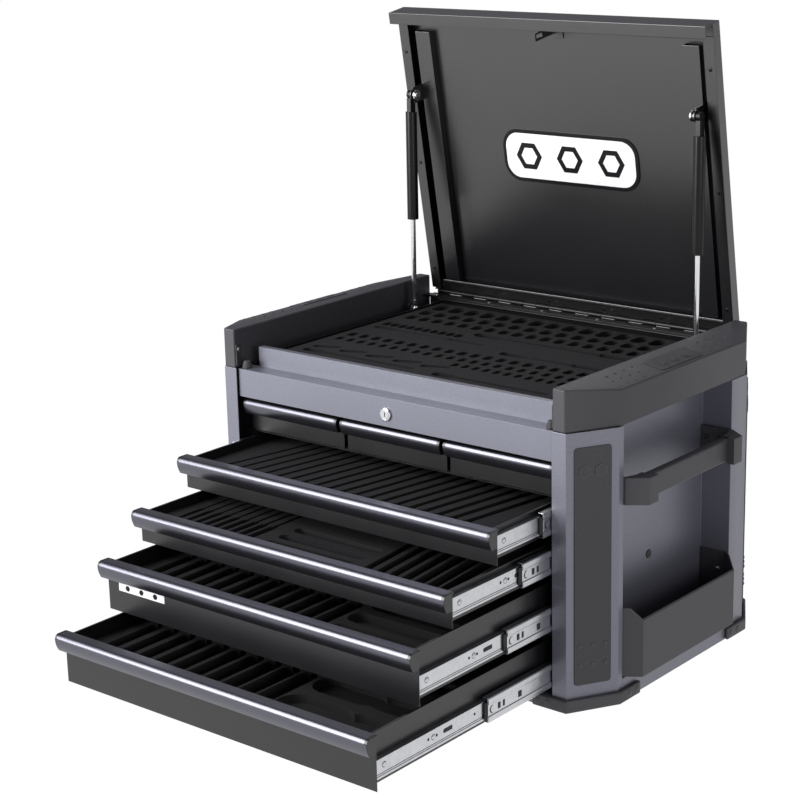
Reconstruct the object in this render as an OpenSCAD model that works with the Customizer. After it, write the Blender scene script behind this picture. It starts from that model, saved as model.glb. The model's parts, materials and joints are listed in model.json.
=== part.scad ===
// Tool chest with a gas-strut lid, seven drawers, side handles and a storage bin.
// Millimetres, +Z up, origin at the centre of the underside of the base pan.

/* [Body] */
// Overall width across the side rails
chest_w = 700; // [690:1:710]
// Overall depth from stile front to back panel
chest_d = 466; // [460:1:472]
// Height of the top of the side rails
rail_top = 454; // [452:1:458]
// Thickness of the body sheet
sheet = 1.5; // [1.2:0.1:1.6]
// Half width of the drawer opening
opening_half = 287.5; // [286.5:0.5:288]

/* [Lid] */
// Angle that the lid stands open
lid_angle = 80.5; // [60:0.5:85]
// Length of the lid from hinge axis to front face
lid_len = 471; // [470:1:472]
// Half width of the lid
lid_half = 286; // [284:0.5:287]

/* [Drawers] */
// How far wide drawer 1 is pulled out
open_1 = 141; // [0:1:400]
// How far wide drawer 2 is pulled out
open_2 = 236; // [0:1:400]
// How far wide drawer 3 is pulled out
open_3 = 305; // [0:1:400]
// How far wide drawer 4 is pulled out
open_4 = 391; // [0:1:400]
// Half width of the drawer fronts
front_half = 284; // [280:0.5:285]

/* [Side handles and bin] */
// Thickness of the handle bar
bar_t = 13; // [10:1:13]
// Height of the storage bin wall above its floor
bin_h = 83; // [60:1:90]

/* [Hidden] */
$fn = 48;
hw = chest_w / 2;
fy = -chest_d / 2;
ry = chest_d / 2;
rail_low = 395;
body_top = rail_low;
stile_x = 311;
corner_y = 67;
recess_x = 302;
recess_f = -155;
recess_r = 124;
recess_mid = (recess_f + recess_r) / 2;
grey = [0.42, 0.43, 0.46];
dark = [0.16, 0.16, 0.17];
black = [0.06, 0.06, 0.065];
zinc = [0.72, 0.73, 0.75];
chrome = [0.85, 0.86, 0.88];
// slope of a corner face and the shift of its inner surface
cx = hw - stile_x;
cl = sqrt(cx * cx + corner_y * corner_y);
nx = corner_y / cl;
ny = cx / cl;
// hinge line
hinge_y = ry + 5;
hinge_z = rail_top - 26;
// strut pivots
strut_x = 265;
foot_y = 162;
foot_z = 414;
arm_u = 340;
arm_t = -18;
top_y = hinge_y - arm_u * cos(lid_angle) + arm_t * sin(lid_angle);
top_z = hinge_z + arm_u * sin(lid_angle) + arm_t * cos(lid_angle);
strut_len = sqrt(pow(top_y - foot_y, 2) + pow(top_z - foot_z, 2));
strut_tilt = atan2(top_y - foot_y, top_z - foot_z);
// wide drawers: front bottom, front top
d_low = [240.5, 184.5, 102.5, 20.5];
d_top = [290.5, 234.5, 178.5, 96.5];
d_open = [open_1, open_2, open_3, open_4];
panel_y = -208;
// small drawers: left edge, right edge
s_x0 = [-283, -91.5, 98];
s_x1 = [-98, 92, 283.5];

// corner point of the body sheet, shifted inwards by s
function corner_a(s) = [stile_x - s * (1 - ny) / nx, fy + s];
function corner_b(s) = [hw - s, fy + corner_y + s * (1 - nx) / ny];
function corner_path(s) = [corner_a(s), corner_b(s)];
function flip_y(p) = [p[0], -p[1]];
function right_path(s) = [[opening_half, fy + s], corner_a(s), corner_b(s), [hw - s, recess_f - s],
    [recess_x - s, recess_f - s], [recess_x - s, recess_r + s], [hw - s, recess_r + s],
    flip_y(corner_b(s)), flip_y(corner_a(s)), [295, ry - s]];
function rev(v) = [for (i = [len(v) - 1 : -1 : 0]) v[i]];

module both_x() {
    children();
    mirror([1, 0, 0]) children();
}
module both_y() {
    children();
    mirror([0, 1, 0]) children();
}
module box(x0, x1, y0, y1, z0, z1) {
    translate([x0, y0, z0]) cube([x1 - x0, y1 - y0, z1 - z0]);
}
// rectangle with rounded corners
module round_rect(w, h, r) {
    square([w - 2 * r, h], center = true);
    square([w, h - 2 * r], center = true);
    for (sx = [-1, 1], sy = [-1, 1]) translate([sx * (w / 2 - r), sy * (h / 2 - r)]) circle(r);
}
// rod along x from x0 to x1
module rod_x(x0, x1, y, z, r) {
    translate([x0, y, z]) rotate([0, 90, 0]) cylinder(h = x1 - x0, r = r);
}
module rod_y(x, y0, y1, z, r) {
    translate([x, y0, z]) rotate([-90, 0, 0]) cylinder(h = y1 - y0, r = r);
}

module side_panel() {
    linear_extrude(height = body_top) polygon(concat(right_path(0), rev(right_path(sheet))));
}
module side_panel_left() { color(grey) mirror([1, 0, 0]) side_panel(); }
module side_panel_right() { color(grey) side_panel(); }
module back_panel() {
    color(grey) {
        box(-294.8, 294.8, ry - sheet, ry, 0, 395);
        box(-288.5, 288.5, ry - sheet, ry, 395, 422.4);
    }
}
module base_pan() {
    p = [for (q = right_path(sheet)) if (q[0] > 296) q];
    color(grey) {
        linear_extrude(height = sheet) polygon(concat(p, [for (q = rev(p)) [-q[0], q[1]]]));
        box(-287.3, 287.3, fy, fy + sheet, 0, 18);
        box(-287.3, 287.3, fy + sheet, fy + 16, 16.5, 18);
        both_x() {
            box(recess_x, hw, recess_f, recess_r, 0, sheet);
            box(hw - sheet, hw, recess_f, recess_r, sheet, 33);
            box(recess_x, hw - sheet, recess_f, recess_r, 33 - sheet, 33);
        }
    }
}
module header_fascia() {
    color(grey) difference() {
        union() {
            box(-287, 287, -228.5, -227, 351.5, 394);
            box(-287, 287, -227, -199.2, 392.5, 394);
            box(-270, 270, -200.7, -199.2, 394, 424);
            box(-270, 270, -199.2, -190, 422.5, 424);
            box(-287, 287, -227, -216, 351.5, 353);
        }
        rod_y(0, -230, -226, 370, 8.3);
    }
}
module top_tray() {
    color(black) {
        box(-250, 250, -199, 212, 354, 355.5);
        box(-250, 250, -199, -197.5, 355.5, 419);
        box(-250, 250, 210.5, 212, 355.5, 422.5);
        box(-288.5, 288.5, 212, 233, 422.5, 424);
        box(-250, 250, 205, 212, 422.5, 424);
        both_x() {
            box(248.5, 250, -197.5, 210.5, 355.5, 419);
            box(250, 288.5, -199, 231.3, 384, 385.5);
            box(287, 288.5, -199, 231.3, 385.5, 395);
        }
    }
}
module small_drawer_bay() {
    color(black) {
        box(-300.3, 300.3, -150, 212, 292.7, 294.2);
        box(-300.3, 300.3, -204, -157, 292.7, 294.2);
        box(-300.3, 300.3, -157, -150, 292.7, 294.2);
        for (x = [-94.75, 95]) box(x - 0.75, x + 0.75, -204, 212, 294.2, 353.8);
        both_x() box(286.5, 288, -204, 212, 294.2, 353.8);
        for (i = [0 : 2]) {
            box(s_x0[i] - 2.7, s_x0[i] + 12, -204, 205, 294.2, 299.5);
            box(s_x1[i] - 12, s_x1[i] + 2.2, -204, 205, 294.2, 299.5);
        }
    }
}
module side_rail() {
    difference() {
        intersection() {
            translate([0, 0, rail_low]) linear_extrude(height = 60)
                polygon([[289, fy], [309.5, fy], [hw, fy + 73], [hw, ry - 73], [309.5, ry], [289, ry]]);
            translate([0, 300, 0]) rotate([90, 0, 0]) linear_extrude(height = 600)
                polygon([[289, rail_low], [hw, rail_low], [hw, rail_top - 8], [309.5, rail_top], [289, rail_top]]);
        }
        translate([0, 0, rail_low - 1]) linear_extrude(height = rail_top - 13 - rail_low)
            polygon([[293, fy + 4], [308, fy + 4], [346, fy + 75], [346, ry - 75], [308, ry - 4], [293, ry - 4]]);
    }
}
module side_rail_left() { color(dark) mirror([1, 0, 0]) side_rail(); }
module side_rail_right() { color(dark) side_rail(); }
module rail_inserts() {
    color(black) both_x() {
        translate([309.5, 0, rail_top]) rotate([0, atan2(8, hw - 309.5), 0])
            translate([19, 0, 0]) linear_extrude(height = 1) round_rect(34, 105, 4);
        box(287, 289, -231, -221, 399, 430);
        rod_x(302, 303.5, -17, 164, 6);
    }
}
module corner_plate() {
    translate([(stile_x + hw) / 2, fy + corner_y / 2, 205.5]) rotate([0, 0, atan2(corner_y, cx)])
        rotate([90, 0, 0]) linear_extrude(height = 1.6) round_rect(55, 337, 5);
}
module corner_panels() { color(dark) both_x() both_y() corner_plate(); }
module bumper() {
    o1 = corner_a(-6);
    o2 = corner_b(-6);
    linear_extrude(height = 19)
        polygon([[257, fy - 6], o1, o2, [hw + 6, -117], [hw, -117], corner_b(0), corner_a(0), [257, fy]]);
}
module corner_bumpers() { color(dark) both_x() both_y() bumper(); }
module handle_bars() {
    color(dark) both_x() box(368 - bar_t, 368, -119.3, 88.3, 287, 320);
}
module handle_bracket() {
    translate([0, 0, 284]) linear_extrude(height = 38)
        polygon([[303, recess_f], [353, recess_f], [379, -136], [379, -114], [368, -114], [368, -119.3],
            [355, -119.3], [355, -133], [349, -150], [303, -150]]);
}
module handle_brackets() {
    color(dark) both_x() {
        handle_bracket();
        translate([0, 2 * recess_mid, 0]) mirror([0, 1, 0]) handle_bracket();
        for (x = [312, 332]) {
            rod_y(x, -150, -148, 304, 4.5);
            rod_y(x, 117, 119, 304, 4.5);
        }
    }
}
module storage_bin() {
    half = [[303, recess_f], [345, recess_f], [371, recess_f + 19]];
    inner = [[303, recess_f + 2], [344.2, recess_f + 2], [369, recess_f + 20.2]];
    m = 2 * recess_mid;
    outer = concat(half, [for (q = rev(half)) [q[0], m - q[1]]]);
    cut = concat(inner, [for (q = rev(inner)) [q[0], m - q[1]]]);
    color(dark) {
        difference() {
            translate([0, 0, 34]) linear_extrude(height = 101) polygon(concat(outer, rev(cut)));
            translate([0, 200, 0]) rotate([90, 0, 0]) linear_extrude(height = 400)
                polygon([[354, 137], [356, 135], [371, 34 + bin_h], [390, 34 + bin_h], [390, 137]]);
        }
        translate([0, 0, 34]) linear_extrude(height = 2) polygon(cut);
    }
}

// one telescopic slide section: web at x0..x0+1.2, lips of length l towards dir
module slide_channel(x0, dir, l, h, y0, y1, z) {
    box(x0, x0 + 1.2, y0, y1, z - h, z + h);
    a = dir > 0 ? x0 + 1.2 : x0 - l;
    for (s = [-1, 1]) box(a, a + l, y0, y1, z + s * (h - 0.6) - 0.6, z + s * (h - 0.6) + 0.6);
}
module slide_outer_members() {
    color(zinc) both_x() for (z = d_low) {
        slide_channel(288.8, -1, 9, 22.5, -204, 192, z + 27);
        for (y = [-140, -10, 100]) box(290, 300.5, y, y + 14, z + 10, z + 44);
    }
}
module lock_housing() {
    color(chrome) difference() {
        union() {
            rod_y(0, -231.5, -228.5, 370, 9.5);
            rod_y(0, -228.5, -214, 370, 8);
        }
        rod_y(0, -240, -200, 370, 6.2);
    }
}
module lock_cylinder() {
    color(chrome) {
        difference() {
            rod_y(0, -232, -208.5, 370, 6);
            box(-0.8, 0.8, -233, -226, 366.5, 373.5);
        }
        box(-4.5, 18, -211.5, -208.5, 365.5, 374.5);
    }
}
module rubber_buffers() {
    color(black) both_x() translate([278, -219, 394]) rotate_extrude($fn = 48)
        polygon([[0, 0], [7.2, 0], [7.2, 2], [5, 10.4], [3.8, 11.6], [0, 11.6]]);
}
module tray_foam() { color(black) box(-248, 248, -197.3, 210, 355.6, 416); }

// hinge: 22 knuckles, alternately on the body leaf and the lid leaf
module knuckles(first, bore) {
    for (i = [first : 2 : 21]) difference() {
        rod_x(-275 + 25 * i + 0.2, -275 + 25 * i + 24.8, hinge_y, hinge_z, 3.5);
        rod_x(-275 + 25 * i - 1, -275 + 25 * i + 26, hinge_y, hinge_z, bore);
    }
}
module hinge_body_leaf() {
    color(black) {
        knuckles(0, 1.9);
        box(-280, 280, 214, 233.6, 424, 425.5);
        for (i = [0 : 2 : 21]) box(-274.8 + 25 * i, -250.2 + 25 * i, 233.6, 237, 424, 425.5);
        for (i = [0 : 2 : 21]) box(-274.8 + 25 * i, -250.2 + 25 * i, 235.8, 237, 425.5, 426);
    }
}
// lid parts are drawn shut, hinge line at the origin, then turned open
module lid_place() {
    translate([0, hinge_y, hinge_z]) rotate([-lid_angle, 0, 0]) children();
}
module lid_box(x0, x1, u0, u1, t0, t1) { box(x0, x1, -u1, -u0, t0, t1); }
module lid_skin() {
    color(black) lid_place() {
        lid_box(-lid_half, lid_half, 0, lid_len, 15, 16.5);
        lid_box(-lid_half, lid_half, lid_len - 1.5, lid_len, -22, 15);
        lid_box(-lid_half, lid_half, lid_len - 18, lid_len - 1.5, -22, -20.5);
        lid_box(-lid_half, lid_half, 0, 1.5, 4.2, 15);
        lid_box(-lid_half + 1.5, lid_half - 1.5, 1.5, 20, 4.2, 5.7);
        both_x() {
            lid_box(lid_half - 1.5, lid_half, 6, lid_len - 1.5, -1.5, 15);
            lid_box(lid_half - 18, lid_half - 1.5, 6, lid_len - 19, -1.5, 0);
        }
    }
}
module lid_channels() {
    color(black) lid_place() both_x() {
        lid_box(230, 258, 22, 436, 3, 4.2);
        lid_box(230, 231.2, 22, 436, 4.2, 15);
        lid_box(256.8, 258, 22, 436, 4.2, 15);
        lid_box(258, 268, 22, 436, 13.8, 15);
    }
}
module lid_striker() {
    color(dark) lid_place() {
        lid_box(-1.2, 18, 434, 452.3, 13, 15);
        difference() {
            lid_box(-1.2, 1.2, 440, 452.3, -33, 13);
            lid_box(-3, 3, 443.5, 449.5, -29.5, -15);
        }
    }
}
module strut_lid_brackets() {
    color(black) lid_place() both_x() {
        difference() {
            union() {
                lid_box(258, 260.4, 326, 352, -20, 13.8);
                rod_x(258, 260.4, -arm_u, arm_t, 9);
            }
            rod_x(250, 264, -arm_u, arm_t, 3.1);
        }
        rod_x(252, 258, -arm_u, arm_t, 6);
    }
}
module lid_emblem() {
    color([0.8, 0.8, 0.82]) lid_place() translate([8, -245, 13.4])
        linear_extrude(height = 1.6) round_rect(250, 84, 30);
}
module hinge_lid_leaf() {
    color(black) lid_place() {
        translate([0, -hinge_y, -hinge_z]) knuckles(1, 1.65);
        lid_box(-280, 280, 4.2, 18, 2.7, 4.2);
        for (i = [1 : 2 : 21]) lid_box(-274.8 + 25 * i, -250.2 + 25 * i, 1, 4.2, 2.6, 4.1);
    }
}
module hinge_pin() { color(zinc) rod_x(-275, 275, hinge_y, hinge_z, 1.5); }

module strut_place(side) {
    translate([side * strut_x, foot_y, foot_z]) rotate([-strut_tilt, 0, 0]) children();
}
module strut_rod(side) {
    color(chrome) strut_place(side) {
        difference() {
            union() {
                rod_x(-3.5, 3.5, 0, 0, 7);
                translate([0, 0, 5]) cylinder(h = 9, r = 5);
                translate([0, 0, 12]) cylinder(h = 150, r = 4);
                translate([0, 0, 157]) cylinder(h = 8, r = 7.2);
            }
            rod_x(-10, 10, 0, 0, 3.3);
        }
    }
}
module strut_tube(side) {
    color(black) strut_place(side) {
        difference() {
            translate([0, 0, 147]) cylinder(h = 172, r = 9);
            translate([0, 0, 151]) cylinder(h = 160, r = 7.6);
            translate([0, 0, 140]) cylinder(h = 20, r = 4.4);
        }
        translate([-4, -6, 318]) cube([8, 12, strut_len - 318 - 5.5]);
        rod_x(-3.5, 3.5, 0, strut_len, 7);
        rod_x(side > 0 ? -4.2 : 3.5, side > 0 ? -3.5 : 4.2, 0, strut_len, 4);
    }
}
module strut_rod_left() { strut_rod(-1); }
module strut_rod_right() { strut_rod(1); }
module strut_tube_left() { strut_tube(-1); }
module strut_tube_right() { strut_tube(1); }
module strut_feet() {
    color(black) both_x() {
        box(256, 279, 150, 174, 385.5, 387.5);
        box(271, 274, 153, 171, 387.5, 414);
        rod_x(271, 274, foot_y, foot_z, 9);
        rod_x(260.5, 271, foot_y, foot_z, 3);
    }
}
module body_fasteners() {
    color(zinc) {
        both_x() {
            rod_x(286.5, 287, -226, 423, 3);
            for (x = [52.5, 157.5, 265]) translate([x, 221, 425.5]) cylinder(h = 0.9, r = 3);
        }
        rod_y(333, recess_f + 2, recess_f + 4, 106, 4);
        rod_y(333, recess_r - 4, recess_r - 2, 106, 4);
    }
}

// drawer fronts and boxes are drawn shut and moved out by their opening
module drawer_box(x0, x1, low, top, depth, inset_x) {
    color(black) {
        box(x0, x1, panel_y, panel_y + 1.2, low, top - 2);
        for (s = [0, 1]) {
            a = s == 0 ? x0 + inset_x : x1 - inset_x - 1.2;
            box(a, a + 1.2, panel_y + 1.2, panel_y + depth, low + 4, top - 2);
            box(a - 1, a + 2.2, panel_y + 1.2, panel_y + depth, top - 4.4, top - 2);
        }
        box(x0 + inset_x, x1 - inset_x, panel_y + 1.2, panel_y + depth, low + 4, low + 5.2);
        box(x0 + inset_x + 1.2, x1 - inset_x - 1.2, panel_y + depth - 1.2, panel_y + depth, low + 5.2, top - 8);
    }
}
// pull: rounded nose, flat top, hooked lower lip
module drawer_pull(x0, x1, top, h) {
    y = panel_y;
    color(dark) translate([x0, 0, 0]) rotate([90, 0, 90]) linear_extrude(height = x1 - x0)
        polygon([[y + 3, top], [y - 12, top], [y - 16, top - 1.6], [y - 17.6, top - 5], [y - 18, top - 9],
            [y - 17.6, top - 14], [y - 16, top - h + 4], [y - 13, top - h], [y - 11.6, top - h],
            [y - 13.6, top - h + 5], [y - 15.4, top - 13], [y - 15.6, top - 8], [y - 14, top - 3.6],
            [y - 10, top - 2.4], [y - 0.2, top - 2.4], [y - 0.2, top - h], [y, top - h], [y, top - 2],
            [y + 3, top - 2]]);
}
module wide_box(i) {
    translate([0, -d_open[i], 0]) drawer_box(-front_half, front_half, d_low[i], d_top[i], 415, front_half - 273);
}
module wide_pull(i) { translate([0, -d_open[i], 0]) drawer_pull(-285, 285, d_top[i], 25); }
module wide_inner(i) {
    color(zinc) translate([0, -d_open[i], 0]) both_x() slide_channel(280, -1, 7, 13, -206.6, 192, d_low[i] + 27);
}
module wide_mid(i) {
    color(zinc) translate([0, -d_open[i] / 2, 0]) both_x()
        slide_channel(284.6, -1, 8, 17.5, -179, 167, d_low[i] + 27);
}
module wide_foam(i) {
    h = i < 2 ? 34 : 52;
    color(black) translate([0, -d_open[i], 0]) box(-271.6, 271.6, -206.6, 205.6, d_low[i] + 5.3, d_low[i] + h);
}
module drawer_1_box() { wide_box(0); }
module drawer_1_pull() { wide_pull(0); }
module drawer_1_slide_inner() { wide_inner(0); }
module drawer_1_slide_mid() { wide_mid(0); }
module drawer_1_foam() { wide_foam(0); }
module drawer_2_box() { wide_box(1); }
module drawer_2_pull() { wide_pull(1); }
module drawer_2_slide_inner() { wide_inner(1); }
module drawer_2_slide_mid() { wide_mid(1); }
module drawer_2_foam() { wide_foam(1); }
module drawer_3_box() { wide_box(2); }
module drawer_3_pull() { wide_pull(2); }
module drawer_3_slide_inner() { wide_inner(2); }
module drawer_3_slide_mid() { wide_mid(2); }
module drawer_3_foam() { wide_foam(2); }
module drawer_4_box() { wide_box(3); }
module drawer_4_pull() { wide_pull(3); }
module drawer_4_slide_inner() { wide_inner(3); }
module drawer_4_slide_mid() { wide_mid(3); }
module drawer_4_foam() { wide_foam(3); }
module small_box(i) { drawer_box(s_x0[i], s_x1[i], 296.5, 346.5, 400, 5); }
module small_pull(i) { drawer_pull(s_x0[i], s_x1[i], 346.5, 22.5); }
module small_left_box() { small_box(0); }
module small_left_pull() { small_pull(0); }
module small_middle_box() { small_box(1); }
module small_middle_pull() { small_pull(1); }
module small_right_box() { small_box(2); }
module small_right_pull() { small_pull(2); }

side_panel_left();
side_panel_right();
back_panel();
base_pan();
header_fascia();
top_tray();
small_drawer_bay();
side_rail_left();
side_rail_right();
rail_inserts();
corner_panels();
corner_bumpers();
handle_bars();
handle_brackets();
storage_bin();
slide_outer_members();
lock_housing();
rubber_buffers();
tray_foam();
hinge_body_leaf();
body_fasteners();
strut_feet();
lock_cylinder();
lid_skin();
lid_channels();
lid_striker();
strut_lid_brackets();
lid_emblem();
hinge_lid_leaf();
hinge_pin();
strut_rod_left();
strut_rod_right();
strut_tube_left();
strut_tube_right();
drawer_1_box();
drawer_1_pull();
drawer_1_slide_inner();
drawer_1_slide_mid();
drawer_1_foam();
drawer_2_box();
drawer_2_pull();
drawer_2_slide_inner();
drawer_2_slide_mid();
drawer_2_foam();
drawer_3_box();
drawer_3_pull();
drawer_3_slide_inner();
drawer_3_slide_mid();
drawer_3_foam();
drawer_4_box();
drawer_4_pull();
drawer_4_slide_inner();
drawer_4_slide_mid();
drawer_4_foam();
small_left_box();
small_left_pull();
small_middle_box();
small_middle_pull();
small_right_box();
small_right_pull();
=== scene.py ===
# Top tool chest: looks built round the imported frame. Lengths in the dictionaries are millimetres.
import bpy
import bmesh
import json
import math
from mathutils import Matrix, Vector


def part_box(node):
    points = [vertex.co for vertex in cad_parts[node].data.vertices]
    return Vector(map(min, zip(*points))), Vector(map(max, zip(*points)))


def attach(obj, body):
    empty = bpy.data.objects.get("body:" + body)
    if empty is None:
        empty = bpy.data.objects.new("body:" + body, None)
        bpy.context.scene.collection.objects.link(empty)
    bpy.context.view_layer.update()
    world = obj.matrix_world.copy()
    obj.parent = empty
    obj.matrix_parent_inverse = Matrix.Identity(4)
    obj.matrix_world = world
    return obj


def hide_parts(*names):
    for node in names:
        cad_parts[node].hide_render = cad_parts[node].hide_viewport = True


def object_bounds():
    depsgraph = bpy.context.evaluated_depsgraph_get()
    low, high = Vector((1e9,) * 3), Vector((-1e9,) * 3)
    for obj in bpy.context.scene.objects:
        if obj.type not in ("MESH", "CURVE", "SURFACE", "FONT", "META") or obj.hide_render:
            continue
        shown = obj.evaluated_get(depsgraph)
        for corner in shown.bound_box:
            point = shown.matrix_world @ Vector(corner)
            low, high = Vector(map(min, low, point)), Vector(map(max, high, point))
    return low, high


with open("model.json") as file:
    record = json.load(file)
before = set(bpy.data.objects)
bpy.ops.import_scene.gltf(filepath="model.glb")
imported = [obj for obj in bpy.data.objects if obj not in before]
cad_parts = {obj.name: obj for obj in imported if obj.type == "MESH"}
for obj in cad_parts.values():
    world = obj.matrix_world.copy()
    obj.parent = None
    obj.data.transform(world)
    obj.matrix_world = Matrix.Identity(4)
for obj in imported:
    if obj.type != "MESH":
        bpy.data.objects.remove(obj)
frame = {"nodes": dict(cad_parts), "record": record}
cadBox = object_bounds()
mm = 0.001
nodes = frame["nodes"]
openLid = {"angle": 80.5, "hingeY": 238.0, "hingeZ": 428.0}


# paints, plastics, metals and foam
def newMaterial(name, color, metallic, roughness):
    mat = bpy.data.materials.new(name)
    mat.use_nodes = True
    shader = mat.node_tree.nodes["Principled BSDF"]
    shader.inputs["Base Color"].default_value = (*color, 1)
    shader.inputs["Metallic"].default_value = metallic
    shader.inputs["Roughness"].default_value = roughness
    mat.diffuse_color = (*color, 1)
    return mat, shader


def objectCoords(mat):
    return mat.node_tree.nodes.new("ShaderNodeTexCoord").outputs["Object"]


def noiseNode(mat, scale, detail=3, rough=0.5):
    noise = mat.node_tree.nodes.new("ShaderNodeTexNoise")
    noise.inputs["Scale"].default_value = scale
    noise.inputs["Detail"].default_value = detail
    noise.inputs["Roughness"].default_value = rough
    mat.node_tree.links.new(objectCoords(mat), noise.inputs["Vector"])
    return noise


def addBump(mat, shader, scale, depth, strength=0.5, detail=3):
    bump = mat.node_tree.nodes.new("ShaderNodeBump")
    bump.inputs["Strength"].default_value = strength
    bump.inputs["Distance"].default_value = depth
    noise = noiseNode(mat, scale, detail)
    mat.node_tree.links.new(noise.outputs["Fac"], bump.inputs["Height"])
    mat.node_tree.links.new(bump.outputs["Normal"], shader.inputs["Normal"])


def varyColor(mat, shader, scale, low, high):
    ramp = mat.node_tree.nodes.new("ShaderNodeValToRGB")
    ramp.color_ramp.elements[0].position = 0.35
    ramp.color_ramp.elements[1].position = 0.65
    ramp.color_ramp.elements[0].color = (*low, 1)
    ramp.color_ramp.elements[1].color = (*high, 1)
    noise = noiseNode(mat, scale, 5)
    mat.node_tree.links.new(noise.outputs["Fac"], ramp.inputs["Fac"])
    mat.node_tree.links.new(ramp.outputs["Color"], shader.inputs["Base Color"])


def varyRough(mat, shader, scale, low, high):
    spread = mat.node_tree.nodes.new("ShaderNodeMapRange")
    spread.inputs["From Min"].default_value = 0.3
    spread.inputs["From Max"].default_value = 0.7
    spread.inputs["To Min"].default_value = low
    spread.inputs["To Max"].default_value = high
    noise = noiseNode(mat, scale, 4)
    mat.node_tree.links.new(noise.outputs["Fac"], spread.inputs["Value"])
    mat.node_tree.links.new(spread.outputs["Result"], shader.inputs["Roughness"])


def greyPaint():
    mat, shader = newMaterial("greyPaint", (0.14, 0.143, 0.175), 0.5, 0.42)
    varyColor(mat, shader, 420, (0.132, 0.135, 0.165), (0.15, 0.153, 0.187))
    varyRough(mat, shader, 9, 0.4, 0.44)
    addBump(mat, shader, 1400, 0.00008, 0.35)
    shader.inputs["Coat Weight"].default_value = 0.15
    shader.inputs["Coat Roughness"].default_value = 0.3
    return mat


def blackPaint():
    mat, shader = newMaterial("blackPaint", (0.004, 0.004, 0.005), 0.0, 0.3)
    varyColor(mat, shader, 300, (0.0036, 0.0036, 0.0045), (0.0045, 0.0045, 0.0056))
    varyRough(mat, shader, 11, 0.29, 0.32)
    shader.inputs["Specular IOR Level"].default_value = 0.6
    addBump(mat, shader, 1600, 0.00006, 0.3)
    return mat


def lidPaint():
    mat, shader = newMaterial("lidPaint", (0.004, 0.004, 0.005), 0.0, 0.26)
    varyColor(mat, shader, 280, (0.0036, 0.0036, 0.0045), (0.0045, 0.0045, 0.0056))
    varyRough(mat, shader, 7, 0.25, 0.27)
    shader.inputs["Specular IOR Level"].default_value = 0.9
    addBump(mat, shader, 1500, 0.00008, 0.35)
    return mat


def texturedPlastic():
    mat, shader = newMaterial("texturedPlastic", (0.03, 0.028, 0.033), 0.0, 0.55)
    varyColor(mat, shader, 700, (0.025, 0.023, 0.028), (0.036, 0.034, 0.04))
    addBump(mat, shader, 1100, 0.00022, 0.6, 4)
    return mat


def insertPlastic():
    mat, shader = newMaterial("insertPlastic", (0.017, 0.0165, 0.0195), 0.0, 0.5)
    varyColor(mat, shader, 500, (0.014, 0.0135, 0.0165), (0.021, 0.0205, 0.024))
    addBump(mat, shader, 1300, 0.00015, 0.5)
    return mat


def pullMetal():
    mat, shader = newMaterial("pullMetal", (0.12, 0.12, 0.142), 0.95, 0.3)
    varyRough(mat, shader, 25, 0.29, 0.31)
    varyColor(mat, shader, 900, (0.117, 0.117, 0.139), (0.123, 0.123, 0.146))
    return mat


def zincPlate():
    mat, shader = newMaterial("zincPlate", (0.62, 0.63, 0.65), 1.0, 0.3)
    varyRough(mat, shader, 45, 0.27, 0.33)
    varyColor(mat, shader, 120, (0.52, 0.53, 0.55), (0.57, 0.58, 0.6))
    return mat


def chromePlate():
    mat, shader = newMaterial("chromePlate", (0.68, 0.69, 0.71), 1.0, 0.12)
    varyRough(mat, shader, 80, 0.1, 0.16)
    return mat


def tubePaint():
    mat, shader = newMaterial("tubePaint", (0.005, 0.005, 0.0055), 0.0, 0.2)
    shader.inputs["Specular IOR Level"].default_value = 0.18
    varyRough(mat, shader, 40, 0.17, 0.26)
    addBump(mat, shader, 900, 0.00003, 0.25)
    return mat


def bufferRubber():
    mat, shader = newMaterial("bufferRubber", (0.028, 0.028, 0.031), 0.0, 0.7)
    addBump(mat, shader, 900, 0.0001, 0.5)
    varyRough(mat, shader, 90, 0.62, 0.78)
    return mat


def foamSheet():
    mat, shader = newMaterial("foamSheet", (0.011, 0.0105, 0.012), 0.0, 0.9)
    varyColor(mat, shader, 900, (0.009, 0.0085, 0.0095), (0.0135, 0.013, 0.0145))
    shader.inputs["Specular IOR Level"].default_value = 0.25
    addBump(mat, shader, 1500, 0.0003, 0.7, 5)
    return mat


def platePaint():
    mat, shader = newMaterial("platePaint", (0.75, 0.76, 0.79), 0.3, 0.32)
    varyRough(mat, shader, 70, 0.28, 0.38)
    varyColor(mat, shader, 300, (0.72, 0.73, 0.76), (0.79, 0.8, 0.83))
    return mat


# painted shade: flat near-black standing in for the shade inside holes, slots, windows, screw recesses and grooves
def paintedShadeBlack():
    mat, shader = newMaterial("paintedShadeBlack", (0.004, 0.004, 0.005), 0.0, 0.6)
    varyRough(mat, shader, 50, 0.55, 0.7)
    return mat


mats = {"body_paint": greyPaint(), "drawer_paint": blackPaint(), "lid_paint": lidPaint(),
        "textured_plastic": texturedPlastic(), "insert_plastic": insertPlastic(), "pull_metal": pullMetal(),
        "zinc": zincPlate(), "chrome": chromePlate(), "tube_paint": tubePaint(),
        "buffer_rubber": bufferRubber(), "foam": foamSheet(), "emblem": platePaint()}
paintedShadeMat = paintedShadeBlack()
nodeSlot = {s["node"]: s["material_slot"] for s in frame["record"]["subparts"]}
nodeBody = {n: b for b, group in frame["record"]["behaviour"]["bodies"].items() for n in group}
print("materials done")


# mesh tools that every piece shares
def splitsShading(edge):
    if len(edge.link_faces) != 2 or edge.calc_face_angle(0) < math.radians(10):
        return False
    areas = sorted(f.calc_area() for f in edge.link_faces)
    return areas[1] > 6 * areas[0]


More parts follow.
